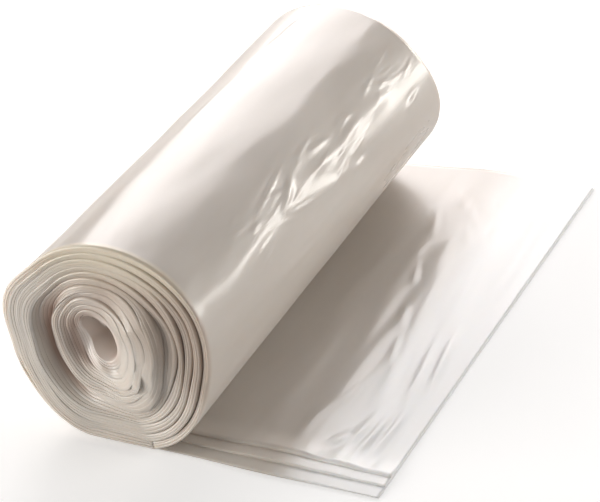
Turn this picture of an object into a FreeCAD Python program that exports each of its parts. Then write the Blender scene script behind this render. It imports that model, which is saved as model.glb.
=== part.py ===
"""Coreless roll of flat-folded bin bags, with the first bag drawn off along the table.

The web is one long bag tube folded flat. It is wound into a spiral, and its outer end lies on
the table as the tail, where its three plies show, each stepping back from the one below.
Frame: the roll's axis runs along Y, the tail runs to +X, and Z is up from the table.
The origin is on the table, under the roll's axis, half way along the roll.
"""

import FreeCAD, Part
import math
import os

from FreeCAD import Vector

SIZES = (
    ("roll_radius", 46.0, "mean outer radius of the roll"),
    ("roll_length", 250.0, "length of the roll at the height of its axis"),
    ("turn_count", 12.0, "turns of web in the roll"),
    ("core_radius", 6.5, "mean radius of the hollow that the winding spindle left"),
    ("turn_gap", 0.5, "air between one turn and the next"),
    ("flat_width", 7.0, "width of the flat that the roll rests on"),
    ("side_flat", 1.1, "how far the roll's sides are flatter than a true round"),
    ("low_dent", 0.8, "extra flat low on the side away from the tail"),
    ("core_oval", 0.22, "how far the hollow is from round, as a share of its radius"),
    ("rim_width", 8.5, "width of the level rim round the near end"),
    ("valley_radius", 29.0, "radius of the sunken ring in the near end"),
    ("valley_depth", 9.0, "how deep that ring sinks"),
    ("inner_radius", 23.5, "radius where the inner turns stand out again"),
    ("inner_depth", 3.0, "how far the inner turns stay behind the rim"),
    ("core_ring_start", 15.5, "radius where the ring round the hollow starts to sink"),
    ("core_ring_radius", 13.0, "radius of the sunken ring round the hollow"),
    ("core_ring_depth", 7.0, "how deep the ring round the hollow sinks"),
    ("lip_radius", 10.5, "radius where the lip of the hollow stands out"),
    ("far_slant", 0.20, "how far the far end leans back, per millimetre of height"),
    ("tail_reach", 113.5, "free edge of the tail, from the roll's axis"),
    ("tail_inset", 2.6, "how far the tail's near edge lies behind the roll's near end"),
    ("ply_step", 6.9, "how far each ply steps back from the one below along the near edge"),
    ("settle_reach", 15.0, "how far from the roll's axis the plies have stepped back fully"),
    ("cut_step", 1.8, "how far each ply stops short at the free edge"),
    ("tail_flare", 12.0, "how much wider the tail is at its far corner"),
)

DERIVED = (
    ("whole_turns", "=round(turn_count)"),
    ("turn_pitch", "=(roll_radius + turn_gap - core_radius) / (whole_turns + 1)"),
    ("web_thickness", "=turn_pitch - turn_gap"),
    ("ply_count", "3"),
    ("ply_thickness", "=web_thickness / ply_count"),
    ("end_allowance", "=2 * roll_radius * far_slant"),
    ("tool_reach", "=4 * roll_radius"),
)

ARCS_PER_TURN = 8
ARC_SWEEP = 2 * math.pi / ARCS_PER_TURN
BOTTOM = -math.pi / 2
SIDE_FLAT_ANGLE = math.radians(195)
CORE_OVAL_ANGLE = math.radians(122)


def make_sheet(doc):
    """Puts the driving sizes and what follows from them in a spreadsheet."""
    sheet = doc.addObject("Spreadsheet::Sheet", "sizes")
    rows = [(alias, str(value), meaning) for alias, value, meaning in SIZES]
    rows += [(alias, formula, "worked out") for alias, formula in DERIVED]
    for row, (alias, content, meaning) in enumerate(rows, start=1):
        sheet.set(f"A{row}", alias)
        sheet.set(f"B{row}", content)
        sheet.set(f"C{row}", meaning)
        sheet.setAlias(f"B{row}", alias)
    doc.recompute()
    return sheet


def outward(angle):
    """Direction from an arc's centre to the web, seen from the near end."""
    return Vector(math.cos(angle), 0, math.sin(angle))


def bend_radius(rise, bulges, angle):
    """What an outline that stands out by rise, bulges times round, adds to its arc at an angle."""
    return (bulges**2 - 1) * rise * math.cos(bulges * angle)


def arc_radius(sheet, index, middle):
    """Radius of one arc of the web's outer face: the spiral, less or more where it lies flat."""
    turns = int(sheet.whole_turns)
    inward = (index // ARCS_PER_TURN) / turns
    radius = sheet.roll_radius - sheet.turn_pitch * index / ARCS_PER_TURN
    # The lower arcs are tighter by half the flat's width, which the flat makes up
    flat = 0 if math.sin(middle) > 0 else -sheet.flat_width / 2
    side = bend_radius(sheet.side_flat, 2, middle - SIDE_FLAT_ANGLE)
    dent = bend_radius(sheet.low_dent, 3, middle - SIDE_FLAT_ANGLE)
    oval = bend_radius(sheet.core_oval * sheet.core_radius, 2, middle - CORE_OVAL_ANGLE)
    return radius + (1 - inward) * (flat + side + dent) - inward * oval


def spiral_arcs(sheet):
    """The web's outer face as (centre, radius, start, end) arcs, going inwards from the table."""
    turns = int(sheet.whole_turns)
    arcs = []
    for index in range(ARCS_PER_TURN * turns):
        start = BOTTOM - ARC_SWEEP * index
        end = start - ARC_SWEEP
        radius = arc_radius(sheet, index, (start + end) / 2)
        if index == 0:
            centre = Vector(-sheet.flat_width / 2, 0, radius)
        else:
            centre = centre + outward(start) * (arcs[-1][1] - radius)
            if index % ARCS_PER_TURN == 0:
                rest = 1 - index / ARCS_PER_TURN / turns
                centre = centre - Vector(sheet.flat_width * rest, 0, 0)
        arcs.append((centre, radius, start, end))
    return arcs


def face_edges(arcs, depth):
    """Edges of the web's face at a depth below its outer one, with the flats between turns."""
    edges = []
    last = None
    for centre, radius, start, end in arcs:
        reach = radius - depth
        places = [centre + outward(angle) * reach for angle in (start, (start + end) / 2, end)]
        if last is not None and (places[0] - last).Length > Part.Precision.confusion():
            edges.append(Part.makeLine(last, places[0]))
        edges.append(Part.Arc(*places).toShape())
        last = places[-1]
    return edges


def web_face(sheet):
    """The spiral section of the wound web, seen from the near end."""
    arcs = spiral_arcs(sheet)
    outer = face_edges(arcs, 0)
    inner = face_edges(arcs, sheet.web_thickness)
    table_end = Part.makeLine(inner[0].firstVertex().Point, outer[0].firstVertex().Point)
    core_end = Part.makeLine(outer[-1].lastVertex().Point, inner[-1].lastVertex().Point)
    return Part.Face(Part.Wire([table_end] + outer + [core_end] + inner[::-1]))


def near_end_face(sheet):
    """Half section of what the near end's rings leave empty, as distance from the axis and Y."""
    clear = sheet.tool_reach
    near = -sheet.roll_length / 2
    outline = (
        (0, -sheet.end_allowance),
        (clear, -sheet.end_allowance),
        (clear, 0),
        (sheet.roll_radius - sheet.rim_width, 0),
        (sheet.valley_radius, sheet.valley_depth),
        (sheet.inner_radius, sheet.inner_depth),
        (sheet.core_ring_start, sheet.inner_depth),
        (sheet.core_ring_radius, sheet.core_ring_depth),
        (sheet.lip_radius, sheet.inner_depth),
        (0, sheet.inner_depth),
    )
    places = [Vector(reach, near + depth, sheet.roll_radius) for reach, depth in outline]
    return Part.Face(Part.makePolygon(places + places[:1]))


def tail_ply_face(sheet, ply):
    """Outline of one ply of the tail on the table. Ply 0 is the lowest."""
    root = -sheet.flat_width / 2
    tip = sheet.tail_reach - ply * sheet.cut_step
    roll_end = -sheet.roll_length / 2
    near = roll_end + sheet.tail_inset + ply * sheet.ply_step
    far = sheet.roll_length / 2 + sheet.far_slant * sheet.roll_radius
    height = ply * sheet.ply_thickness
    outline = (
        (root, roll_end),
        (sheet.settle_reach, near),
        (tip, near),
        (tip, far + sheet.tail_flare),
        (root, far),
    )
    places = [Vector(x, y, height) for x, y in outline]
    return Part.Face(Part.makePolygon(places + places[:1]))


def add_feature(doc, name, shape):
    feature = doc.addObject("Part::Feature", name)
    feature.Shape = shape
    return feature


def add_extrusion(doc, name, base, direction, length):
    """A solid drawn from a face, its length bound to the sheet."""
    solid = doc.addObject("Part::Extrusion", name)
    solid.Base = base
    solid.DirMode = "Custom"
    solid.Dir = direction
    solid.Solid = True
    solid.setExpression("LengthFwd", length)
    return solid


def add_cut(doc, name, base, tool):
    cut = doc.addObject("Part::Cut", name)
    cut.Base = base
    cut.Tool = tool
    return cut


def add_near_end_tool(doc, sheet):
    """What is taken off the near end, so that its turns stand and sink in rings."""
    tool = doc.addObject("Part::Revolution", "near_end_rings")
    tool.Source = add_feature(doc, "near_end_outline", near_end_face(sheet))
    tool.Axis = Vector(0, 1, 0)
    tool.Angle = 360
    tool.setExpression("Base.z", "sizes.roll_radius")
    return tool


def add_far_end_tool(doc):
    """What is taken off the far end, so that it leans back towards the top."""
    tool = doc.addObject("Part::Box", "far_end_slant")
    for side in ("Length", "Width", "Height"):
        tool.setExpression(side, "sizes.tool_reach")
    tool.setExpression("Placement.Rotation.Axis.x", "1")
    tool.setExpression("Placement.Rotation.Axis.z", "0")
    tool.setExpression("Placement.Rotation.Angle", "atan(sizes.far_slant)")
    tool.setExpression("Placement.Base.x", "-sizes.tool_reach / 2")
    tool.setExpression(
        "Placement.Base.y", "sizes.roll_length / 2 + 2 * sizes.roll_radius * sizes.far_slant"
    )
    tool.setExpression("Placement.Base.z", "-sizes.roll_radius")
    return tool


def add_wound_web(doc, sheet):
    """The wound turns, with both ends as they settled."""
    section = add_feature(doc, "web_section", web_face(sheet))
    turns = add_extrusion(
        doc, "turns", section, Vector(0, 1, 0), "sizes.roll_length + 2 * sizes.end_allowance"
    )
    turns.setExpression("Placement.Base.y", "-sizes.roll_length / 2 - sizes.end_allowance / 2")
    ringed = add_cut(doc, "ringed_turns", turns, add_near_end_tool(doc, sheet))
    return add_cut(doc, "wound_web", ringed, add_far_end_tool(doc))


def add_tail_plies(doc, sheet):
    """The flat plies of the tail, each its own outline drawn up by its thickness."""
    plies = []
    for ply in range(int(sheet.ply_count)):
        outline = add_feature(doc, f"tail_outline_{ply + 1}", tail_ply_face(sheet, ply))
        plies.append(
            add_extrusion(doc, f"tail_ply_{ply + 1}", outline, Vector(0, 0, 1), "sizes.ply_thickness")
        )
    return plies


def check(doc):
    """Stops where any object failed or has no valid shape."""
    for item in doc.Objects:
        if {"Invalid", "Error"} & set(item.State):
            raise RuntimeError(f"{item.Label} failed: {item.State}")
        if hasattr(item, "Shape") and (item.Shape.isNull() or not item.Shape.isValid()):
            raise RuntimeError(f"{item.Label} has no valid shape")


def main():
    doc = FreeCAD.newDocument("bin_bag_roll")
    sheet = make_sheet(doc)
    roll = doc.addObject("Part::MultiFuse", "bag_roll")
    roll.Label = "bag_roll"
    roll.Shapes = [add_wound_web(doc, sheet)] + add_tail_plies(doc, sheet)
    roll.Refine = True
    doc.recompute()
    check(doc)
    if len(roll.Shape.Solids) != 1:
        raise RuntimeError("the web isn't one piece")
    os.makedirs("parts", exist_ok=True)
    roll.Shape.exportStep("parts/bag_roll.step")


main()
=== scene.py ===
"""Looks of a coreless roll of bin bags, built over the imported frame.

The film is one long web. Two meshes carry it: the leading bag, which is the outermost turn with the
flat tail, and the inner turns. Both are swept from the same section: three plies that step back
from each other at the near edge.

An angle goes round the roll from +X, where the tail lies, over the top. A turn is counted inwards
from the table. A share is 0 on the roll's skin and 1 at the hollow.
"""

import math
from typing import NamedTuple

import bpy
import numpy as np
from mathutils import Matrix, Vector


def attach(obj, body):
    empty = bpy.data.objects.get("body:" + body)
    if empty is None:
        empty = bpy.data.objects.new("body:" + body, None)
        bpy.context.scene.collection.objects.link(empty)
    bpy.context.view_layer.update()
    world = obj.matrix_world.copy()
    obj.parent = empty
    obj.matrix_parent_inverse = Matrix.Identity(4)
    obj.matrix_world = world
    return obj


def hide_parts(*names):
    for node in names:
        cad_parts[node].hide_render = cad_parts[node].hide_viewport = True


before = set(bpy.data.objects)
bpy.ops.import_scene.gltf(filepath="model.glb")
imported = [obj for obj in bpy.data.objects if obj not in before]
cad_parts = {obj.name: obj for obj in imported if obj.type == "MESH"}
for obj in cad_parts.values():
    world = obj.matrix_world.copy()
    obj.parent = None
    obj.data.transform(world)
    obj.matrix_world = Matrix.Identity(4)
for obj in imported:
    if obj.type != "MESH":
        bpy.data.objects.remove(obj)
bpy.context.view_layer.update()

bl_info = {
    "name": "Bin bag roll",
    "version": (1, 0, 0),
    "blender": (4, 5, 0),
    "location": "View3D > Sidebar > Bag roll",
    "description": "Builds the film of a coreless bag roll with its drawn-off bag, and a plain studio",
    "category": "Object",
}

MM = 0.001
NODE = "bag_roll"
BOTTOM = -math.pi / 2
FULL_TURN = 2 * math.pi

# The roll, in metres. A lean is how far an end goes along Y for each metre of height
DIAMETER = 0.090
RADIUS = DIAMETER / 2
ROLL_LENGTH = 0.2506
NEAR_END = -0.125
FAR_END = NEAR_END + ROLL_LENGTH
NEAR_LEAN = 0.046
FAR_LEAN = -0.204

# The web's turns. The two meshes meet at the seam, and the last turn runs out in the hollow's wall.
# A turn goes steadily inwards by a share of its step, and by the rest of it from the step's start
TURNS = 12
SEAM_TURN = 0.93
LAST_TURN = TURNS - 0.42
STEADY_INWARD = 0.25
STEP_START = 0.72

# The tail, from the roll's axis to its free edge, with the near edge of each ply as Y
TAIL_REACH = 0.1135
TAIL_ROOT = 0.0
TAIL_THICKNESS = 1.0 * MM
TAIL_PLY_EDGES = (-0.1222, -0.1147, -0.1089)

# The hollow's middle and half sizes, seen from the near end, and how late the turns drift to it
HOLLOW_CENTRE = (-0.0070, 0.0450)
HOLLOW_LONG = 0.0090
HOLLOW_SHORT = 0.0050
HOLLOW_TILT = math.radians(122)
HOLLOW_DRIFT = 1.3

# The web's section: points on each ply's fold, and how deep and how round the folds are
PLIES = 3
FOLD_POINTS = 6
FOLD_FULLNESS = 0.96
CORNER = 0.007
GROOVE = 0.20 * MM
EDGE_ROUNDING = 0.3 * MM
FAR_POINTS = 9
FAR_BULGE = 0.5 * MM
INNER_ROWS = 4


class Waves(NamedTuple):
    """Seeded unevenness: a sum of so many waves, each a whole number of times round."""

    size: float
    seed: int
    times_round: tuple
    lengths: tuple
    count: int = 7

    def at(self, around, along):
        """Its height, about -size to size."""
        rng = np.random.default_rng(self.seed)
        total = 0.0
        for _ in range(self.count):
            times = rng.integers(*self.times_round)
            length = rng.uniform(*self.lengths) * rng.choice((-1, 1))
            total = total + np.cos(times * around + FULL_TURN * along / length + rng.uniform(0, FULL_TURN))
        return self.size * (total / math.sqrt(self.count))


def window(angle, centre, half_width):
    """Smooth bump round the roll: 1 at the centre angle, 0 from half_width away. Degrees."""
    away = (np.degrees(angle) - centre + 180) % 360 - 180
    inside = np.clip(np.abs(away) / half_width, 0, 1)
    return np.cos(math.pi / 2 * inside) ** 2


def ease(value, low, high):
    """0 below low, 1 above high, smooth between."""
    share = np.clip((value - low) / (high - low), 0, 1)
    return share * share * (3 - 2 * share)


def bell(value, centre, width):
    """1 at the centre, falling off smoothly on both sides."""
    return np.exp(-(((value - centre) / width) ** 2))


def swellings(angle, table):
    """Sum of bumps round the roll. The table gives each one's amount, centre and half width."""
    return sum(amount * window(angle, centre, half_width) for amount, centre, half_width in table)


def profile(value, start, steps):
    """A run that starts at one height and changes by each step's amount from its low to its high."""
    return start + sum(amount * ease(value, low, high) for amount, low, high in steps)


# The skin's section at both ends, as shares of the diameter: slumped at the lower right, flat on the
# right and flared on the left at the near end, and calm at the far end
NEAR_RADIUS = 0.499
NEAR_SWELLINGS = ((0.058, -56, 46), (-0.008, 208, 42), (-0.012, 0, 34), (0.018, 246, 34))
NEAR_FLARE = ((0.040, 163, 28),)
FLARE_LENGTH = 0.05
FAR_RADIUS = 0.505
FAR_SWELLINGS = ((-0.024, 75, 95),)
SKIN_WAVES = Waves(0.004, 11, (1, 4), (0.9, 2.0))
LEAST_SLOPE = 1e-3


def outline_radius(angle, along):
    """Distance of the roll's skin from its axis. along is 0 at the near end and 1 at the far end."""
    flare = swellings(angle, NEAR_FLARE) * ease(FLARE_LENGTH - along, 0.0, FLARE_LENGTH)
    near = NEAR_RADIUS + swellings(angle, NEAR_SWELLINGS) + flare
    far = FAR_RADIUS + swellings(angle, FAR_SWELLINGS)
    radius = near + (far - near) * ease(along, 0.0, 1.0) + SKIN_WAVES.at(angle, along)
    floor_reach = 0.5 / np.maximum(-np.sin(angle), LEAST_SLOPE)
    return np.minimum(radius, floor_reach) * DIAMETER


def hollow_radius(angle):
    """Distance of the hollow's edge from its middle: an oval, leaning."""
    turned = angle - HOLLOW_TILT
    inside = (np.cos(turned) / HOLLOW_LONG) ** 2 + (np.sin(turned) / HOLLOW_SHORT) ** 2
    return 1 / np.sqrt(inside)


def core_share(turn):
    """0 on the roll's skin and 1 at the hollow. Each turn steps inwards mostly where it meets the next."""
    whole = np.floor(turn)
    part = turn - whole
    inward = STEADY_INWARD * part + (1 - STEADY_INWARD) * ease(part, STEP_START, 1.0)
    return np.clip((whole + inward) / TURNS, 0, 1)


# How far turns stray from even spacing, as shares: waves all round and lobes at the lower right,
# both of them strongest at the near end. A band is a bell's centre and width over the share
WARP_WAVES = Waves(0.012, 23, (2, 6), (1.5, 4.0))
WARP_LENGTH = (0.55, 1.0)
LOBE_SIZE = 0.011
LOBE_BAND = (0.62, 0.16)
LOBE_SIDE = (-40, 42)
LOBES_ROUND = 9
LOBE_SHIFT = 1.3


def wound_point(turn, y):
    """Where the web's outer face runs, as X and Z."""
    angle = BOTTOM - FULL_TURN * turn
    share = core_share(turn)
    along = np.clip((y - NEAR_END) / ROLL_LENGTH, 0, 1)
    warp = WARP_WAVES.at(angle, turn) * share * (1 - share) * 4
    lobes = LOBE_SIZE * bell(share, *LOBE_BAND) * window(angle, *LOBE_SIDE)
    warp = warp + lobes * np.sin(LOBES_ROUND * angle + LOBE_SHIFT * turn)
    share = np.clip(share + warp * ease(1 - along, *WARP_LENGTH), 0, 1)
    radius = outline_radius(angle, along) * (1 - share) + hollow_radius(angle) * share
    drift = share**HOLLOW_DRIFT
    x = HOLLOW_CENTRE[0] * drift + radius * np.cos(angle)
    z = RADIUS + (HOLLOW_CENTRE[1] - RADIUS) * drift + radius * np.sin(angle)
    return x, z


# Air between turns, in mm. A side is an angle and a half width in degrees
LEAST_GAP = 0.02
GAP_WAVES = Waves(0.10, 31, (2, 7), (1.5, 5.0))
CRESCENT_GAP = 1.1
CRESCENT_BAND = (0.50, 0.045)
CRESCENT_SIDE = (200, 75)
LOOSE_GAP = 0.36
LOOSE_SIDE = (-5, 85)
LOOSE_RIM_END = (0.22, 0.38)
TIGHT_LEFT_SIDE = (195, 110)
TIGHT_TOP_SIDE = (100, 60)
TIGHT_RIM_END = (0.3, 0.4)
TIGHT_RIGHT_SIDE = (0, 100)
TIGHT_FULLNESS = 2
INSIDE_START = (0.5, 0.6)
LAST_GAP = 2.0


def turn_gap(turn):
    """Air between a turn and the next: little, but a crescent gapes on the left and the rim is loose."""
    angle = BOTTOM - FULL_TURN * turn
    share = core_share(turn)
    crescent = CRESCENT_GAP * bell(share, *CRESCENT_BAND) * window(angle, *CRESCENT_SIDE)
    loose_rim = LOOSE_GAP * window(angle, *LOOSE_SIDE) * (1 - ease(share, *LOOSE_RIM_END))
    tight_rim = np.maximum(window(angle, *TIGHT_LEFT_SIDE), window(angle, *TIGHT_TOP_SIDE))
    tight_rim = tight_rim * (1 - ease(share, *TIGHT_RIM_END))
    tight_inside = np.minimum(1, TIGHT_FULLNESS * window(angle, *TIGHT_RIGHT_SIDE))
    tight_inside = tight_inside * ease(share, *INSIDE_START)
    fine = LEAST_GAP + np.abs(GAP_WAVES.at(angle, turn)) * (1 - np.maximum(tight_rim, tight_inside))
    thinning = LAST_GAP * ease(turn, LAST_TURN - 1.0, LAST_TURN)
    return (fine + np.maximum(crescent + loose_rim, thinning)) * MM


# How deep the turns lie behind the near end, in mm, as a start and steps over the share. On the left
# a valley lies between the rim and the standing inner group. On the right a plateau stands out
LEFT_SIDE = (200, 88)
RIGHT_SIDE = (0, 92)
RIGHT_FULLNESS = 1.5
PLAIN_RINGS = (0.0, ((2.0, 0.05, 0.5), (2.5, 0.75, 1.0)))
LEFT_RINGS = (1.2, ((-1.2, 0.0, 0.07), (10.0, 0.32, 0.55), (-7.0, 0.55, 0.60), (7.0, 0.62, 0.93)))
RIGHT_RINGS = (0.0, ((1.5, 0.0, 0.04), (-0.5, 0.05, 0.42), (-4.0, 0.38, 0.54), (8.0, 0.68, 1.0)))
PLY_STEP = 0.20
STEP_RATE = 1.7
STEP_SHIFT = 0.6
STEP_CALMED = 0.85
CRUMPLE_WAVES = Waves(1.7, 47, (4, 9), (0.9, 2.4))
CRUMPLE_BAND = (0.60, 0.12)
CRUMPLE_SIDE = (-50, 55)
NEAR_WAVES = Waves(0.35, 53, (1, 7), (0.7, 2.2))
WAVES_CALMED = 0.7
RIM_CALM = (0.0, 0.1)
SETTLING = (0.0, 0.22)


def near_edge(turn, depth, ply):
    """How far the web's edge lies behind the near end, as the turns stand out and sink.

    depth is the share of the way through the web and ply the number of the ply there.
    """
    angle = BOTTOM - FULL_TURN * turn
    share = core_share(turn) + depth / TURNS
    left = window(angle, *LEFT_SIDE)
    right = np.minimum(1.0, RIGHT_FULLNESS * window(angle, *RIGHT_SIDE))
    rings = profile(share, *PLAIN_RINGS) * (1 - left) * (1 - right)
    rings = rings + profile(share, *LEFT_RINGS) * left + profile(share, *RIGHT_RINGS) * right
    smooth = np.clip(left + right * ease(share, *INSIDE_START), 0, 1)
    step = ply * PLY_STEP * (1 + np.sin(STEP_RATE * turn + STEP_SHIFT)) * (1 - STEP_CALMED * smooth)
    lobes = bell(share, *CRUMPLE_BAND) * window(angle, *CRUMPLE_SIDE)
    crumple = lobes * CRUMPLE_WAVES.at(angle, turn)
    wander = NEAR_WAVES.at(angle, turn) * (1 - WAVES_CALMED * smooth) * ease(share, *RIM_CALM)
    wound = ease(turn, *SETTLING)
    tail_step = (np.take(TAIL_PLY_EDGES, ply) - NEAR_END + NEAR_LEAN * RADIUS) / MM
    return (rings * wound + tail_step * (1 - wound) + step + crumple + wander) * MM


# How sharply the plies' folds show, round the rim and inside it
RIM_END = (0.25, 0.42)
SHARP_RIM = ((1.6, 0, 80), (-0.85, 190, 110), (-0.5, 95, 60))
SMOOTH_INSIDE = ((0.88, -10, 120), (0.6, 200, 90))


def crispness(turn):
    """Depth of the plies' folds: smooth on the left and inside, deep on the right of the rim."""
    angle = BOTTOM - FULL_TURN * turn
    inside = ease(core_share(turn), *RIM_END)
    return 1 + (1 - inside) * swellings(angle, SHARP_RIM) - inside * swellings(angle, SMOOTH_INSIDE)


# How far the turns lie inside the far end, in mm
FAR_VALLEY = 4.0
FAR_VALLEY_BAND = (0.55, 0.12)
FAR_HOLLOW = 2.0
FAR_HOLLOW_START = (0.6, 1.0)
SHORT_SKIN = 2.6
SHORT_SIDE = (28, 42)
SHORT_END = (0.9, 1.0)
FAR_SET_BACK = 0.4
FAR_WAVES = Waves(0.6, 61, (1, 6), (0.7, 2.4))


def far_edge(turn):
    """How far the web's far edge lies inside the far end."""
    angle = BOTTOM - FULL_TURN * turn
    share = core_share(turn)
    sunk = FAR_VALLEY * bell(share, *FAR_VALLEY_BAND) + FAR_HOLLOW * ease(share, *FAR_HOLLOW_START)
    short = SHORT_SKIN * window(angle, *SHORT_SIDE) * (1 - ease(turn, *SHORT_END))
    wander = (FAR_SET_BACK + FAR_WAVES.at(angle, turn)) * ease(share, *RIM_CALM)
    return (sunk + short + wander) * MM


# Creases of the outer skin: angle, Y, slant, half length, half width and height,
# in degrees, mm, degrees per 100 mm, mm, degrees and mm
CREASES = (
    (45.5, -35, 21, 26, 1.5, 0.42),
    (36, -27, 50, 15, 3.0, 0.60),
    (40, -30, -30, 10, 1.6, 0.30),
    (31, -75, 2, 34, 3.4, 0.16),
    (33, 6, -6, 26, 3.4, 0.45),
    (42, 12, -20, 13, 1.8, 0.40),
    (47, 2, 14, 12, 1.6, 0.30),
    (33, 36, 8, 18, 3.2, 0.45),
    (41, 40, -26, 10, 1.8, 0.40),
    (33, 65, -14, 22, 4.4, 0.55),
    (39, 78, -40, 9, 1.5, 0.35),
    (43, 70, 20, 11, 1.5, 0.30),
    (36, 86, -55, 8, 1.3, 0.30),
    (14, 35, 6, 11, 2.4, 0.36),
    (19, 14, -5, 22, 2.6, 0.22),
    (8, -2, 5, 34, 3.0, 0.20),
    (1, -34, -6, 30, 2.6, 0.26),
    (-6, 40, 7, 36, 2.8, 0.24),
    (16, 97, 22, 10, 2.0, 0.40),
    (62, 30, 4, 60, 7.0, 0.30),
    (72, -45, -5, 50, 6.0, 0.25),
    (66, 96, 9, 24, 5.0, 0.25),
)

# Wrinkles of the tail: X, Y, slant, half length, half width and height, in mm and mm per 100 mm
WRINKLES = (
    (90, -85, 11, 24, 1.7, 0.65),
    (95.5, -84, 9, 28, 1.6, 0.75),
    (101, -80, 5, 30, 1.7, 0.65),
    (84, -91, 42, 9, 2.6, 0.70),
    (97, -34, -13, 46, 2.0, 0.65),
    (102, -22, -11, 44, 1.6, 0.55),
    (86, -38, -8, 34, 2.4, 0.50),
    (76, -60, 16, 26, 1.5, 0.40),
    (70, -78, 20, 20, 1.6, 0.35),
    (80, -20, -20, 18, 1.4, 0.40),
    (74, 6, -24, 16, 1.5, 0.45),
    (66, 40, -26, 14, 1.4, 0.45),
    (74, 84, -30, 16, 1.5, 0.45),
    (57, 88, -22, 18, 1.6, 0.40),
    (60, 62, 18, 12, 1.3, 0.35),
    (84, 82, -18, 22, 1.6, 0.40),
    (79, 20, -9, 46, 2.6, 0.40),
    (90, 44, -7, 40, 2.0, 0.30),
    (71, 66, -6, 38, 2.6, 0.40),
    (69, 102, -34, 15, 2.0, 0.50),
    (61, 112, -30, 13, 1.8, 0.45),
    (78, 108, -26, 16, 1.8, 0.35),
    (72, -22, 6, 58, 3.4, 0.35),
    (63, 24, -5, 60, 3.6, 0.30),
    (52, -50, 3, 60, 4.2, 0.30),
    (46, 60, -4, 55, 4.4, 0.30),
    (104, 66, -4, 50, 1.7, 0.25),
    (96, 100, -6, 34, 2.0, 0.25),
)

# Ranges of the further creases, in the same order and units, and of the crinkles of the upper right,
# whose angles gather round one
FURTHER_CREASES = 30
FURTHER_RANGES = ((105, 310), (-100, 105), (-12, 12), (12, 40), (2.0, 4.2), (0.15, 0.45))
CRINKLES = 34
CRINKLE_PLACES = (-70, 112)
CRINKLE_ANGLES = (34, 8)
CRINKLE_RANGES = ((-45, 45), (5, 14), (0.9, 1.7), (0.08, 0.20))
CREASE_SEED = 5

# The length in mm over which a slant is measured, and the unit of the waves' lengths
SPAN = 100

# A fold narrows to its end, and its dip lies beside the ridge by so many half widths
NARROWING = 0.45
DIP_DEPTH = 0.45
DIP_PLACE = 1.7

# The skin's slack and fine unevenness, in mm, which start a little behind the near end
SLACK_WAVES = Waves(0.16, 71, (3, 9), (0.5, 1.6))
FINE_WAVES = Waves(0.04, 73, (14, 34), (0.35, 1.2), 9)
RELIEF_START = 0.012


def crease_table():
    """The skin's creases above, with more scattered over the sides that they leave bare."""
    rng = np.random.default_rng(CREASE_SEED)
    table = list(CREASES)
    for _ in range(FURTHER_CREASES):
        table.append(tuple(rng.uniform(*span) for span in FURTHER_RANGES))
    for _ in range(CRINKLES):
        place = rng.uniform(*CRINKLE_PLACES)
        angle = rng.normal(*CRINKLE_ANGLES)
        table.append((angle, place, *(rng.uniform(*span) for span in CRINKLE_RANGES)))
    return table


SKIN_CREASES = crease_table()


def fold_lines(across, place, table, wrap=None):
    """Heights of folds: each a ridge with a dip beside it, narrowing to its end. across may wrap round."""
    relief = 0.0
    for centre, middle, slant, reach, width, height in table:
        run = np.clip((place - middle) / reach, -1, 1)
        off = across - centre - slant * (place - middle) / SPAN
        if wrap:
            off = (off + wrap / 2) % wrap - wrap / 2
        off = off / (width * (1 - NARROWING * run))
        ridge = bell(off, 0, 1) - DIP_DEPTH * bell(off, DIP_PLACE, 1)
        relief = relief + height * ridge * np.cos(math.pi / 2 * run) ** 2
    return relief


def skin_relief(angle, y):
    """How far creases and slack stand out of the skin, in metres."""
    place = y / MM
    relief = fold_lines(np.degrees(angle), place, SKIN_CREASES, 360)
    unevenness = SLACK_WAVES.at(angle, place / SPAN) + FINE_WAVES.at(angle, place / SPAN)
    return (relief + unevenness) * MM


# The tail's waves run along the roll on a line with two bends, each a size, a length and a shift.
# It is calm at the root and at its free edge, and lifts off the table between them. All in mm
TAIL_WAVE = 9
BENDS = ((3.0, 47, 0.8), (2.0, 21, 0.0))
LONG_WAVES = Waves(0.14, 83, (1, 4), (1.6, 4.0), 6)
SHORT_WAVES = Waves(0.05, 89, (4, 10), (0.6, 1.8), 9)
SHORT_BENDING = 0.6
TAIL_LIFT = 1.6
LIFT_BAND = (66, 26)
LOOSE_START = (34, 62)
FREE_EDGE = (104, 113)
EDGE_CALM = 0.35


def tail_relief(x, y):
    """How far the tail's top face waves, in metres: long wrinkles that run along the roll."""
    across = x / MM
    place = y / MM
    bend = sum(size * np.sin(place / length + shift) for size, length, shift in BENDS)
    long = LONG_WAVES.at((across + bend) / TAIL_WAVE, place / SPAN)
    short = SHORT_WAVES.at((across + SHORT_BENDING * bend) / TAIL_WAVE, place / SPAN)
    folds = fold_lines(across, place, WRINKLES)
    loose = ease(across, *LOOSE_START) * (1 - (1 - EDGE_CALM) * ease(across, *FREE_EDGE))
    return ((long + short + folds) * loose + TAIL_LIFT * bell(across, *LIFT_BAND)) * MM


# The tail's edges, in metres: how far each ply's near edge waves, and how far the far edge widens
NEAR_EDGE_WAVE = 0.45 * MM
NEAR_EDGE_START = (0.01, 0.04)
FAR_WIDENING = 0.0125
FAR_EDGE_WAVE = 0.0008


def tail_near_edge(x, ply):
    """Near edge of each ply of the tail, as Y. Ply 0 lies on the table."""
    wave = NEAR_EDGE_WAVE * np.sin(x / MM / (14 + 5 * ply) + 2 * ply)
    return np.take(TAIL_PLY_EDGES, ply) + wave * ease(x, *NEAR_EDGE_START)


def tail_far_edge(x):
    """Far edge of the tail, as Y: it widens towards the free edge."""
    start = FAR_END - FAR_LEAN * RADIUS
    return start + (FAR_WIDENING - FAR_EDGE_WAVE * np.sin(x / MM / 13)) * x / TAIL_REACH


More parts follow.
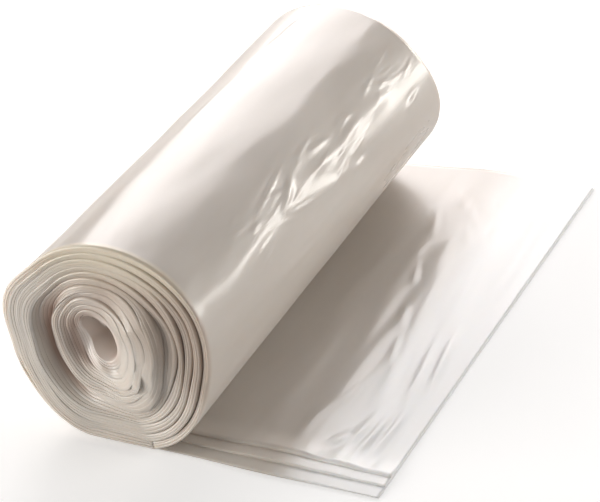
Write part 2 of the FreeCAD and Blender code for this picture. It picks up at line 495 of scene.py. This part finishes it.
def fold_profile():
    """The plies' rounded folds, from the web's outer face inwards: ply, depth share and set-back."""
    sweep = np.sin(np.linspace(-math.pi / 2, math.pi / 2, FOLD_POINTS))
    ply = np.repeat(np.arange(PLIES), FOLD_POINTS)
    depth = (ply + np.tile((sweep + 1) / 2, PLIES)) / PLIES
    depth = np.concatenate(([0.0], np.clip(depth, CORNER, 1 - CORNER), [1.0]))
    setback = np.tile(1 - np.sqrt(1 - (FOLD_FULLNESS * sweep) ** 2), PLIES)
    return np.pad(ply, 1, mode="edge"), depth, np.pad(setback, 1, mode="edge")


FOLD_PLY, FOLD_DEPTH, FOLD_SETBACK = fold_profile()

# Where a ply's fold ends and the next begins, a ledge runs back, with points close to both its ends
LEDGES = (FOLD_POINTS + 1, 2 * FOLD_POINTS + 1)
LEDGE_PARTS = (0.06, 0.94)


class WebSweep:
    """Collects the web's sections, one ring of points for each station, and makes the mesh."""

    def __init__(self, rows):
        self.rows = rows
        self.rings = []

    def add(self, outer, inner, near, far, crisp):
        """outer and inner give X and Z at any Y, near the near edge's points, far the far edge."""
        rounding = EDGE_ROUNDING * (2 * FOLD_DEPTH - 1) ** 4
        edge = near + crisp * (FOLD_SETBACK * GROOVE + rounding)
        places = []
        for index, (depth, y) in enumerate(zip(FOLD_DEPTH, edge)):
            if index in LEDGES:
                before = edge[index - 1]
                places += [(depth, before + (y - before) * part) for part in LEDGE_PARTS]
            places.append((depth, y))
        inner_start = places[-1][1]
        outer_start = places[0][1]
        share = np.arange(1, self.rows + 1) / (self.rows + 1)
        turn_over = np.linspace(0, 1, FAR_POINTS)
        places += [(1.0, inner_start + (far - inner_start) * part) for part in share]
        places += [(1 - part, far + FAR_BULGE * math.sin(math.pi * part)) for part in turn_over]
        places += [(0.0, far + (outer_start - far) * part) for part in share]
        depths, y = np.array(places).T
        outer_x, outer_z = outer(y)
        inner_x, inner_z = inner(y)
        x = outer_x + (inner_x - outer_x) * depths
        z = outer_z + (inner_z - outer_z) * depths
        self.rings.append(np.stack((x, y, z), axis=1))

    def build(self, name):
        """Joins the rings with quads, closes both ends and gives the object."""
        rings = np.array(self.rings)
        count, around = rings.shape[:2]
        index = np.arange(count * around).reshape(count, around)
        beside = np.roll(index, -1, axis=1)
        quads = np.stack((index[:-1], beside[:-1], beside[1:], index[1:]), axis=-1).reshape(-1, 4)
        caps = [index[0].tolist()[::-1], index[-1].tolist()]
        mesh = bpy.data.meshes.new(name)
        mesh.from_pydata(rings.reshape(-1, 3).tolist(), [], quads.tolist() + caps)
        mesh.update()
        mesh.polygons.foreach_set("use_smooth", [True] * len(quads) + [False] * len(caps))
        piece = bpy.data.objects.new(name, mesh)
        bpy.context.collection.objects.link(piece)
        return piece


def wound_station(sweep, turn, relief_fade):
    """One section of the wound web. relief_fade is how much of the skin's creases it takes."""
    angle = BOTTOM - FULL_TURN * turn
    gap = float(turn_gap(turn))
    direction = (math.cos(angle), math.sin(angle))

    def outer(y):
        x, z = wound_point(turn, y)
        inside = ease(y, NEAR_END, NEAR_END + RELIEF_START)
        out = skin_relief(angle, y) * relief_fade * inside if relief_fade else 0.0
        return x + out * direction[0], z + out * direction[1]

    def inner(y):
        x, z = wound_point(turn + 1, y)
        return x + gap * direction[0], z + gap * direction[1]

    near_height = float(wound_point(turn, np.array(NEAR_END))[1]) - RADIUS
    near = NEAR_END + NEAR_LEAN * near_height + near_edge(turn, FOLD_DEPTH, FOLD_PLY)
    far_height = float(wound_point(turn, np.array(FAR_END))[1]) - RADIUS
    far = FAR_END + FAR_LEAN * far_height - float(far_edge(turn))
    sweep.add(outer, inner, near, far, float(crispness(turn)))


# The tail rises to the roll over the root's length, and its folds spring open at the near edge
ROOT_LENGTH = 0.022
PUFF = 1.3
PUFF_END = (TAIL_PLY_EDGES[-1] - 3 * MM, TAIL_PLY_EDGES[-1] + 14 * MM)


def tail_station(sweep, x):
    """One section of the tail, which lies flat on the table."""
    root_top = float(wound_point(1.0, np.array(NEAR_END))[1] - turn_gap(0.0))
    root = 1 - float(ease(x, 0.0, ROOT_LENGTH))

    def outer(y):
        return np.full_like(y, x), np.zeros_like(y)

    def inner(y):
        puffed = 1 + PUFF * (1 - ease(y, *PUFF_END))
        top = TAIL_THICKNESS * puffed * (1 - root) + root_top * root
        return np.full_like(y, x), top + tail_relief(x, y)

    sweep.add(outer, inner, tail_near_edge(x, FOLD_PLY), float(tail_far_edge(x)), 1.0)


# Turns between which the skin is crinkled, and over which its creases fade in and out
CRINKLED = (0.59, 0.715)
FADE_IN = (0.02, 0.12)
FADE_OUT = (SEAM_TURN - 0.08, SEAM_TURN - 0.01)


def skin_turns(count):
    """Stations round the outer turn, closest on the upper right, where the film is crinkled."""
    quarter = count // 4
    start = np.linspace(0.0, CRINKLED[0], 2 * quarter, endpoint=False)
    crinkled = np.linspace(*CRINKLED, quarter, endpoint=False)
    rest = np.linspace(CRINKLED[1], SEAM_TURN, quarter)
    return np.concatenate((start, crinkled, rest))


def make_leading_bag(settings):
    """The outermost turn and the tail, as one swept web."""
    sweep = WebSweep(settings.rows_along)
    for x in np.linspace(TAIL_REACH, TAIL_ROOT, settings.tail_stations, endpoint=False):
        tail_station(sweep, float(x))
    for turn in skin_turns(settings.skin_stations):
        fade = float(ease(turn, *FADE_IN) * (1 - ease(turn, *FADE_OUT)))
        wound_station(sweep, float(turn), fade)
    return sweep.build("leading_bag")


def make_inner_turns(settings):
    """The rest of the turns, down to the hollow."""
    sweep = WebSweep(INNER_ROWS)
    turn = SEAM_TURN
    while turn < LAST_TURN:
        wound_station(sweep, turn, 0.0)
        reach = RADIUS * (1 - turn / TURNS) + HOLLOW_SHORT
        turn += settings.turn_spacing / (FULL_TURN * reach)
    return sweep.build("inner_turns")


def dress(piece, material):
    """Gives the piece its finish, its body and its place in the frame."""
    piece.data.materials.clear()
    piece.data.materials.append(material)
    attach(piece, "root")
    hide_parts(NODE)


def add_node(tree, kind, **values):
    """A new node with these settings."""
    node = tree.nodes.new(kind)
    for name, value in values.items():
        setattr(node, name, value)
    return node


def link(tree, source, target):
    tree.links.new(source, target)


def multiply(tree, source, factor):
    """Product of a socket and a number, or of two sockets."""
    node = add_node(tree, "ShaderNodeMath", operation="MULTIPLY")
    link(tree, source, node.inputs[0])
    if isinstance(factor, float):
        node.inputs[1].default_value = factor
    else:
        link(tree, factor, node.inputs[1])
    return node.outputs[0]


def ramp(tree, source, low, high, start=0.0, end=1.0):
    """A mask that runs smoothly from start to end while the source runs from low to high."""
    node = add_node(tree, "ShaderNodeMapRange", interpolation_type="SMOOTHSTEP")
    node.inputs["From Min"].default_value = low
    node.inputs["From Max"].default_value = high
    node.inputs["To Min"].default_value = start
    node.inputs["To Max"].default_value = end
    link(tree, source, node.inputs["Value"])
    return node.outputs["Result"]


def mix_colour(tree, mask, low, high):
    """A colour between two, by a mask. A tuple gives a fixed colour, a socket one that changes."""
    mix = add_node(tree, "ShaderNodeMix", data_type="RGBA")
    link(tree, mask, mix.inputs["Factor"])
    for socket, value in ((mix.inputs["A"], low), (mix.inputs["B"], high)):
        if isinstance(value, tuple):
            socket.default_value = value
        else:
            link(tree, value, socket)
    return mix.outputs["Result"]


def new_group(name, inputs, outputs):
    """An empty node group with its sockets. Each input has a name, a kind and a value."""
    tree = bpy.data.node_groups.new(name, "ShaderNodeTree")
    for title, kind, value in inputs:
        tree.interface.new_socket(title, in_out="INPUT", socket_type=kind).default_value = value
    for title in outputs:
        tree.interface.new_socket(title, in_out="OUTPUT", socket_type="NodeSocketFloat")
    return tree


def film_mottle_group():
    """Cloudy thickness of milky film: a mask that changes over the surface."""
    inputs = (("Scale", "NodeSocketFloat", 40), ("Stretch", "NodeSocketVector", (1, 0.3, 1)))
    tree = new_group("film_mottle", inputs, ("Mask",))
    entry = add_node(tree, "NodeGroupInput")
    leave = add_node(tree, "NodeGroupOutput")
    place = add_node(tree, "ShaderNodeTexCoord")
    stretch = add_node(tree, "ShaderNodeVectorMath", operation="MULTIPLY")
    noise = add_node(tree, "ShaderNodeTexNoise")
    noise.inputs["Detail"].default_value = 5.0
    noise.inputs["Roughness"].default_value = 0.55
    clouds = add_node(tree, "ShaderNodeMapRange")
    clouds.inputs["From Min"].default_value = 0.32
    clouds.inputs["From Max"].default_value = 0.68
    link(tree, place.outputs["Object"], stretch.inputs[0])
    link(tree, entry.outputs["Stretch"], stretch.inputs[1])
    link(tree, stretch.outputs[0], noise.inputs["Vector"])
    link(tree, entry.outputs["Scale"], noise.inputs["Scale"])
    link(tree, noise.outputs["Fac"], clouds.inputs["Value"])
    link(tree, clouds.outputs["Result"], leave.inputs["Mask"])
    return tree


# The finest crinkles: how far they are drawn out, and the finer ones' scale and height
CRINKLE_STRETCH = (1.0, 0.16, 1.0)
FINER_SCALE = 4.0
FINER_HEIGHT = 0.35


def film_crinkle_group():
    """Fine crinkles of thin film, drawn out along the roll: a height."""
    tree = new_group("film_crinkle", (("Scale", "NodeSocketFloat", 120),), ("Height",))
    entry = add_node(tree, "NodeGroupInput")
    leave = add_node(tree, "NodeGroupOutput")
    place = add_node(tree, "ShaderNodeTexCoord")
    stretch = add_node(tree, "ShaderNodeVectorMath", operation="MULTIPLY")
    stretch.inputs[1].default_value = CRINKLE_STRETCH
    broad = add_node(tree, "ShaderNodeTexNoise", noise_type="RIDGED_MULTIFRACTAL")
    broad.inputs["Detail"].default_value = 3.0
    fine = add_node(tree, "ShaderNodeTexNoise")
    fine.inputs["Detail"].default_value = 4.0
    total = add_node(tree, "ShaderNodeMath", operation="MULTIPLY_ADD")
    total.inputs[1].default_value = FINER_HEIGHT
    link(tree, place.outputs["Object"], stretch.inputs[0])
    link(tree, stretch.outputs[0], broad.inputs["Vector"])
    link(tree, stretch.outputs[0], fine.inputs["Vector"])
    link(tree, entry.outputs["Scale"], broad.inputs["Scale"])
    link(tree, multiply(tree, entry.outputs["Scale"], FINER_SCALE), fine.inputs["Scale"])
    link(tree, fine.outputs["Fac"], total.inputs[0])
    link(tree, broad.outputs["Fac"], total.inputs[2])
    link(tree, total.outputs[0], leave.inputs["Height"])
    return tree


# Where the film's colour changes, in metres. Depths lie behind the near end or inside the far end, and
# there painted shade darkens the recessed turns; reaches go from the roll's axis towards the upper right,
# where painted shade darkens and browns the ends, or from the hollow's middle
NEAR_SHADE_DEPTH = (1.0 * MM, 8.5 * MM)
EDGE_DEPTH = (3 * MM, 6 * MM)
RIM_DEPTH = (4 * MM, 7 * MM)
FAR_SHADE_DEPTH = (12 * MM, 3 * MM)
FAR_SHADE_LEFT = 0.4
PAINTED_SHADE_SIDE = math.radians(50)
PAINTED_SHADE_REACH = (5 * MM, 20 * MM)
HOLLOW_REACH = (9 * MM, 12 * MM)

# Heights above the tail's plies, of the rim's top and of film near the table, and X of the free side,
# where painted light makes the tail paler away from the roll
ABOVE_TAIL = (2.3 * MM, 3.2 * MM)
RIM_TOP = (64 * MM, 88 * MM)
LOW_FILM = (5 * MM, 8 * MM)
PAINTED_LIGHT_SIDE = (62 * MM, 90 * MM)


def end_place_group():
    """Masks by place: painted shade by the ends' depths and on their upper right, the edges, the rim's
    top, the hollow, and painted light on the tail's free side.
    """
    tree = new_group("end_place", (), ("Depth", "Rim", "Tail", "Hollow", "Edge", "Painted_side_shade"))
    leave = add_node(tree, "NodeGroupOutput")
    place = add_node(tree, "ShaderNodeTexCoord")
    split = add_node(tree, "ShaderNodeSeparateXYZ")
    link(tree, place.outputs["Object"], split.inputs[0])
    x, y, z = split.outputs["X"], split.outputs["Y"], split.outputs["Z"]

    def behind_near_end(depths, start, end):
        return ramp(tree, y, NEAR_END + depths[0], NEAR_END + depths[1], start, end)

    # Painted shade: the film darkens with depth behind the near end, in the recesses between the turns,
    # and only in part near the far end
    leaning = add_node(tree, "ShaderNodeMath", operation="MULTIPLY_ADD")
    leaning.inputs[1].default_value = -FAR_LEAN
    link(tree, z, leaning.inputs[0])
    link(tree, y, leaning.inputs[2])
    far_end = FAR_END - FAR_LEAN * RADIUS
    far_shade = ramp(tree, leaning.outputs[0], far_end - FAR_SHADE_DEPTH[0], far_end - FAR_SHADE_DEPTH[1],
                     1.0, FAR_SHADE_LEFT)
    link(tree, multiply(tree, behind_near_end(NEAR_SHADE_DEPTH, 0.0, 1.0), far_shade), leave.inputs["Depth"])

    # Painted shade: the ends darken and brown towards the upper right, the side turned away from the light
    slant = add_node(tree, "ShaderNodeVectorMath", operation="DOT_PRODUCT")
    slant.inputs[1].default_value = (math.cos(PAINTED_SHADE_SIDE), 0, math.sin(PAINTED_SHADE_SIDE))
    link(tree, place.outputs["Object"], slant.inputs[0])
    middle = RADIUS * math.sin(PAINTED_SHADE_SIDE)
    side_shade_mask = ramp(tree, slant.outputs["Value"], middle + PAINTED_SHADE_REACH[0], middle + PAINTED_SHADE_REACH[1])
    link(tree, side_shade_mask, leave.inputs["Painted_side_shade"])

    flat = add_node(tree, "ShaderNodeCombineXYZ")
    link(tree, x, flat.inputs["X"])
    link(tree, z, flat.inputs["Z"])
    away = add_node(tree, "ShaderNodeVectorMath", operation="DISTANCE")
    away.inputs[1].default_value = (HOLLOW_CENTRE[0], 0, HOLLOW_CENTRE[1])
    link(tree, flat.outputs[0], away.inputs[0])
    link(tree, ramp(tree, away.outputs["Value"], *HOLLOW_REACH, 1.0, 0.0), leave.inputs["Hollow"])

    edge = multiply(tree, ramp(tree, z, *ABOVE_TAIL), behind_near_end(EDGE_DEPTH, 1.0, 0.0))
    rim = multiply(tree, ramp(tree, z, *RIM_TOP), behind_near_end(RIM_DEPTH, 1.0, 0.0))
    # Painted light: the tail's free side, away from the roll, is paler, as where it lies in full light
    tail = multiply(tree, ramp(tree, x, *PAINTED_LIGHT_SIDE), ramp(tree, z, *LOW_FILM, 1.0, 0.0))
    link(tree, edge, leave.inputs["Edge"])
    link(tree, rim, leave.inputs["Rim"])
    link(tree, tail, leave.inputs["Tail"])
    return tree


# The film's clouds and crinkles: their scales, and how far the clouds change the roughness
MOTTLE_SCALE = 26
MOTTLE_STRETCH = (1.0, 0.25, 1.0)
ROUGHNESS_SPREAD = (0.85, 1.2)
CRINKLE_SCALE = 90
CRINKLE_HEIGHT = 0.12 * MM


def make_film(settings, groups, name, pale, dense, inside):
    """Milky polythene: a pale body colour under a glossy skin, cloudy and finely crinkled, with painted
    shade in the ends' recesses and on their upper right, and painted light on the tail's free side.
    """
    material = bpy.data.materials.new(name)
    material.use_nodes = True
    tree = material.node_tree
    shader = tree.nodes["Principled BSDF"]
    mottle = add_node(tree, "ShaderNodeGroup", node_tree=groups["film_mottle"])
    mottle.inputs["Scale"].default_value = MOTTLE_SCALE
    mottle.inputs["Stretch"].default_value = MOTTLE_STRETCH
    place = add_node(tree, "ShaderNodeGroup", node_tree=groups["end_place"]).outputs
    colour = mix_colour(tree, mottle.outputs["Mask"], dense, pale)
    if inside:
        # Painted shade: browner towards the upper right and dark deep in the recesses between the turns;
        # round the hollow a plain colour takes its place
        side_shaded_colour = mix_colour(tree, place["Painted_side_shade"], colour, tuple(settings.painted_shade_edge))
        colour = mix_colour(tree, place["Depth"], side_shaded_colour, inside)
        colour = mix_colour(tree, place["Hollow"], colour, tuple(settings.hollow))
    else:
        # Painted shade on the near edge's upper right, and painted light on the tail's free side
        edge = mix_colour(tree, place["Painted_side_shade"], tuple(settings.pale_edge), tuple(settings.painted_shade_edge))
        colour = mix_colour(tree, place["Edge"], colour, edge)
        colour = mix_colour(tree, place["Tail"], colour, tuple(settings.tail))
    colour = mix_colour(tree, place["Rim"], colour, tuple(settings.rim))
    link(tree, colour, shader.inputs["Base Color"])
    gloss = add_node(tree, "ShaderNodeMapRange")
    gloss.inputs["To Min"].default_value = settings.roughness * ROUGHNESS_SPREAD[0]
    gloss.inputs["To Max"].default_value = settings.roughness * ROUGHNESS_SPREAD[1]
    link(tree, mottle.outputs["Mask"], gloss.inputs["Value"])
    link(tree, gloss.outputs["Result"], shader.inputs["Roughness"])
    fine = add_node(tree, "ShaderNodeGroup", node_tree=groups["film_crinkle"])
    fine.inputs["Scale"].default_value = CRINKLE_SCALE
    bump = add_node(tree, "ShaderNodeBump")
    bump.inputs["Strength"].default_value = settings.crinkle
    bump.inputs["Distance"].default_value = CRINKLE_HEIGHT
    link(tree, fine.outputs["Height"], bump.inputs["Height"])
    link(tree, bump.outputs["Normal"], shader.inputs["Normal"])
    shader.inputs["IOR"].default_value = settings.film_ior
    shader.inputs["Coat Weight"].default_value = 0.25
    shader.inputs["Coat Roughness"].default_value = 0.16
    shader.inputs["Subsurface Weight"].default_value = 0.35
    shader.inputs["Subsurface Radius"].default_value = (1.0, 0.78, 0.62)
    shader.inputs["Subsurface Scale"].default_value = 4 * MM
    return material


def body_colour(title, where, colour):
    """A property for the film's colour at one place. Some of these colours are painted shade, and one is
    painted light.
    """
    return bpy.props.FloatVectorProperty(
        name=title, description="Body colour " + where, subtype="COLOR", size=4, default=colour)


class RollSizes(bpy.types.PropertyGroup):
    """How finely the film's meshes are made."""

    rows_along: bpy.props.IntProperty(
        name="Rows along", description="Mesh rows along the roll on each face", default=112, min=8)
    skin_stations: bpy.props.IntProperty(
        name="Skin stations", description="Mesh stations round the outer turn", default=300, min=24)
    tail_stations: bpy.props.IntProperty(
        name="Tail stations", description="Mesh stations across the tail", default=84, min=8)
    turn_spacing: bpy.props.FloatProperty(
        name="Turn spacing", description="Distance between stations of the inner turns",
        default=1.3 * MM, unit="LENGTH")


class RollFinish(bpy.types.PropertyGroup):
    """The film's colours and gloss."""

    pale: body_colour("Pale film", "where the film is cloudy", (0.66, 0.60, 0.54, 1))
    dense: body_colour("Dense film", "where the film is clearer", (0.58, 0.52, 0.46, 1))
    pale_edge: body_colour("Pale edges", "of the wound turns' edges", (0.77, 0.69, 0.61, 1))
    # Painted shade: the edges darker and browner at the upper right
    painted_shade_edge: body_colour(
        "Browner edges", "of the edges at the upper right", (0.56, 0.475, 0.405, 1))
    # Painted shade: the film deep in the recesses between the turns
    inside: body_colour("Inside", "deep between the turns", (0.44, 0.31, 0.255, 1))
    rim: body_colour("Rim", "of the rim's top", (0.76, 0.67, 0.54, 1))
    hollow: body_colour("Hollow", "round the hollow", (0.78, 0.69, 0.63, 1))
    # Painted light: the tail paler on its free side, away from the roll
    tail: body_colour("Tail", "where few plies lie on the pale table", (0.95, 0.92, 0.89, 1))
    film_ior: bpy.props.FloatProperty(
        name="Film gloss", description="Refraction that sets how strongly the film mirrors", default=1.5)
    roughness: bpy.props.FloatProperty(
        name="Film roughness", description="Blur of the film's reflections", default=0.32,
        subtype="FACTOR")
    crinkle: bpy.props.FloatProperty(
        name="Crinkle", description="Strength of the finest crinkles", default=0.35, subtype="FACTOR")


class StageSettings(bpy.types.PropertyGroup):
    """The camera and the table."""

    eye: bpy.props.FloatVectorProperty(
        name="Camera place", description="Where the camera stands", subtype="TRANSLATION",
        default=(0.46044, -0.96920, 0.64140), unit="LENGTH")
    azimuth: bpy.props.FloatProperty(
        name="Azimuth", description="Way that the camera looks, round the vertical",
        default=math.radians(24.02), subtype="ANGLE")
    elevation: bpy.props.FloatProperty(
        name="Elevation", description="How steeply the camera looks down",
        default=math.radians(30.02), subtype="ANGLE")
    roll: bpy.props.FloatProperty(
        name="Camera roll", description="Tilt of the picture", default=math.radians(-1.47),
        subtype="ANGLE")
    lens: bpy.props.FloatProperty(
        name="Lens", description="Focal length for a 36 mm sensor", default=171.46,
        unit="CAMERA")
    floor_colour: bpy.props.FloatVectorProperty(
        name="Floor", description="Colour of the table", subtype="COLOR", size=4,
        default=(0.80, 0.79, 0.78, 1))


# The stage, in metres. A glow or a colour of 1 shows white to the camera
SENSOR_WIDTH_MM = 36
CLIP_START = 0.05
CLIP_END = 50
TABLE_SIZE = 12
TABLE_DROP = 0.2 * MM
TABLE_GLOW = 0.40
SURROUNDINGS = (0.14, 0.14, 0.14, 1)
WHITE = (1.0, 1.0, 1.0, 1)

# Soft lights: name, direction and height in degrees, distance, width, height, power and colour
SOFTBOXES = (
    ("key_softbox", 109.5, 23, 1.5, 1.15, 1.15, 20, (1.0, 0.955, 0.95)),
    ("back_wash", 140, 42, 1.8, 1.2, 1.0, 5, (1.0, 1.0, 1.0)),
    ("low_strip", 64, 3.5, 1.6, 1.0, 0.24, 8.5, (1.0, 0.97, 0.92)),
    ("right_fill", 18, 16, 1.8, 1.0, 0.9, 13, (1.0, 1.0, 1.0)),
    ("left_fill", -140, 13, 1.6, 1.0, 0.9, 21, (1.0, 0.98, 0.95)),
)


def camera_axes(azimuth, elevation, roll):
    """Right, up and back of a camera at these angles."""
    right = Vector((math.cos(azimuth), math.sin(azimuth), 0))
    back = Vector((math.sin(azimuth) * math.cos(elevation),
                   -math.cos(azimuth) * math.cos(elevation),
                   math.sin(elevation)))
    up = back.cross(right)
    across = right * math.cos(roll) + up * math.sin(roll)
    return across, back.cross(across), back


def add_camera(settings):
    """The camera, at the photograph's place and angle."""
    data = bpy.data.cameras.new("photo_camera")
    data.lens = settings.lens
    data.sensor_width = SENSOR_WIDTH_MM
    data.clip_start = CLIP_START
    data.clip_end = CLIP_END
    camera = bpy.data.objects.new("photo_camera", data)
    bpy.context.collection.objects.link(camera)
    axes = camera_axes(settings.azimuth, settings.elevation, settings.roll)
    turn = Matrix(axes).transposed().to_4x4()
    camera.matrix_world = Matrix.Translation(Vector(settings.eye)) @ turn
    bpy.context.scene.camera = camera


def add_softbox(name, azimuth, elevation, distance, width, height, power, colour):
    """A flat soft light that faces the roll, placed by its direction in degrees from +X."""
    data = bpy.data.lights.new(name, "AREA")
    data.shape = "RECTANGLE"
    data.size = width
    data.size_y = height
    data.energy = power
    data.color = colour
    lamp = bpy.data.objects.new(name, data)
    bpy.context.collection.objects.link(lamp)
    around, up = math.radians(azimuth), math.radians(elevation)
    level = math.cos(up)
    way = Vector((math.cos(around) * level, math.sin(around) * level, math.sin(up)))
    lamp.location = Vector((0, 0, RADIUS)) + way * distance
    lamp.rotation_mode = "QUATERNION"
    lamp.rotation_quaternion = way.to_track_quat("Z", "Y")


def make_floor_material(colour):
    """Pale table that shows white to the camera and keeps the roll's shadow."""
    material = bpy.data.materials.new("pale_table")
    material.use_nodes = True
    tree = material.node_tree
    shader = tree.nodes["Principled BSDF"]
    shader.inputs["Base Color"].default_value = colour
    shader.inputs["Roughness"].default_value = 0.9
    shader.inputs["Specular IOR Level"].default_value = 0.1
    shader.inputs["Emission Color"].default_value = WHITE
    path = add_node(tree, "ShaderNodeLightPath")
    glow = multiply(tree, path.outputs["Is Camera Ray"], TABLE_GLOW)
    link(tree, glow, shader.inputs["Emission Strength"])
    return material


def make_world():
    """Even soft surroundings, white where the camera sees them."""
    world = bpy.data.worlds.new("studio")
    world.use_nodes = True
    tree = world.node_tree
    path = add_node(tree, "ShaderNodeLightPath")
    colour = mix_colour(tree, path.outputs["Is Camera Ray"], SURROUNDINGS, WHITE)
    link(tree, colour, tree.nodes["Background"].inputs["Color"])
    bpy.context.scene.world = world


class BAGROLL_OT_leading_bag(bpy.types.Operator):
    """Build the outermost turn with its flat tail"""

    bl_idname = "bagroll.leading_bag"
    bl_label = "Leading bag"

    def execute(self, context):
        sizes = context.scene.bag_roll_sizes
        dress(make_leading_bag(sizes), bpy.data.materials["outer_film"])
        return {"FINISHED"}


class BAGROLL_OT_inner_turns(bpy.types.Operator):
    """Build the turns inside the outermost one"""

    bl_idname = "bagroll.inner_turns"
    bl_label = "Inner turns"

    def execute(self, context):
        sizes = context.scene.bag_roll_sizes
        dress(make_inner_turns(sizes), bpy.data.materials["wound_film"])
        return {"FINISHED"}


class BAGROLL_OT_finish(bpy.types.Operator):
    """Make the film's materials"""

    bl_idname = "bagroll.finish"
    bl_label = "Film finish"

    def execute(self, context):
        finish = context.scene.bag_roll_finish
        groups = {
            "film_mottle": film_mottle_group(),
            "film_crinkle": film_crinkle_group(),
            "end_place": end_place_group(),
        }
        make_film(finish, groups, "outer_film", tuple(finish.pale), tuple(finish.dense), None)
        make_film(finish, groups, "wound_film", tuple(finish.pale_edge), tuple(finish.pale),
                  tuple(finish.inside))
        return {"FINISHED"}


class BAGROLL_OT_stage(bpy.types.Operator):
    """Set up the table, the soft lights and the camera"""

    bl_idname = "bagroll.stage"
    bl_label = "Stage"

    def execute(self, context):
        settings = context.scene.bag_roll_stage
        bpy.ops.mesh.primitive_plane_add(size=TABLE_SIZE, location=(0, 0, -TABLE_DROP))
        floor = context.object
        floor.name = "table"
        floor.data.materials.append(make_floor_material(tuple(settings.floor_colour)))
        make_world()
        for softbox in SOFTBOXES:
            add_softbox(*softbox)
        add_camera(settings)
        context.scene.view_settings.view_transform = "Standard"
        return {"FINISHED"}


class BAGROLL_PT_panel(bpy.types.Panel):
    bl_label = "Bag roll"
    bl_idname = "BAGROLL_PT_panel"
    bl_space_type = "VIEW_3D"
    bl_region_type = "UI"
    bl_category = "Bag roll"

    def draw(self, context):
        scene = context.scene
        for operator in OPERATORS:
            self.layout.operator(operator.bl_idname)
        for group in (scene.bag_roll_sizes, scene.bag_roll_finish, scene.bag_roll_stage):
            for name in group.bl_rna.properties.keys():
                if name not in ("rna_type", "name"):
                    self.layout.prop(group, name)


OPERATORS = (
    BAGROLL_OT_finish,
    BAGROLL_OT_leading_bag,
    BAGROLL_OT_inner_turns,
    BAGROLL_OT_stage,
)
CLASSES = (RollSizes, RollFinish, StageSettings) + OPERATORS + (BAGROLL_PT_panel,)


def register():
    for item in CLASSES:
        bpy.utils.register_class(item)
    bpy.types.Scene.bag_roll_sizes = bpy.props.PointerProperty(type=RollSizes)
    bpy.types.Scene.bag_roll_finish = bpy.props.PointerProperty(type=RollFinish)
    bpy.types.Scene.bag_roll_stage = bpy.props.PointerProperty(type=StageSettings)


def unregister():
    del bpy.types.Scene.bag_roll_stage
    del bpy.types.Scene.bag_roll_finish
    del bpy.types.Scene.bag_roll_sizes
    for item in reversed(CLASSES):
        bpy.utils.unregister_class(item)


def main():
    """Builds the roll and its stage."""
    register()
    bpy.ops.bagroll.finish()
    bpy.ops.bagroll.leading_bag()
    bpy.ops.bagroll.inner_turns()
    bpy.ops.bagroll.stage()


if __name__ == "__main__":
    main()
